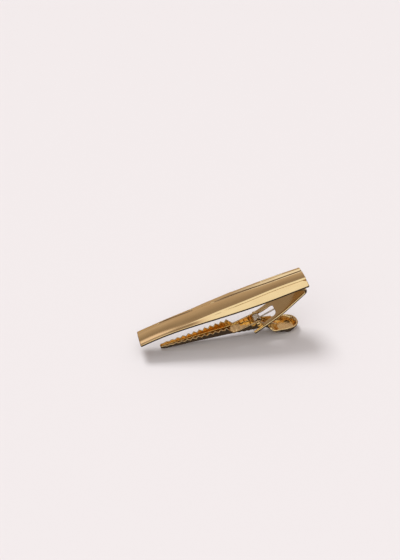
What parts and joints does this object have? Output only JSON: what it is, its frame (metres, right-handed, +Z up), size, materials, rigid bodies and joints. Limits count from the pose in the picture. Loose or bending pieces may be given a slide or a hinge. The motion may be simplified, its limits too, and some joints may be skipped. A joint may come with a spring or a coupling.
{
  "type": "tie clip",
  "caption": "Tapered gold-plated tie bar with a forked bracket and a sprung, toothed alligator jaw behind it.",
  "frame": {"origin": "on the surface that the clip lies on, under the middle of its bounding box", "axes": "+X towards the bar's wide end, +Y across the bar, +Z up; the bar rises 14.7 degrees towards +X"},
  "size_m": [0.0486, 0.0096, 0.0185],
  "materials": {
    "gold_plate": "polished gold plate on brass, fine lengthwise polishing marks",
    "spring_wire": "drawn steel wire with a warm plated tint"
  },
  "bodies": {
    "bar": {"front_bar": "gold_plate", "bracket": "gold_plate", "hinge_pin": "gold_plate", "torsion_spring": "spring_wire"},
    "jaw": {"jaw": "gold_plate", "spring_jaw_leg": "spring_wire"}
  },
  "joints": [
    {"name": "jaw_hinge", "type": "hinge", "parent": "jaw", "child": "bar", "pos_m": [0.01039, 0, 0.0049], "axis": [0, 1, 0], "range_deg": [-8.5, 30], "stiffness_Nm_per_rad": 0.12}
  ]
}
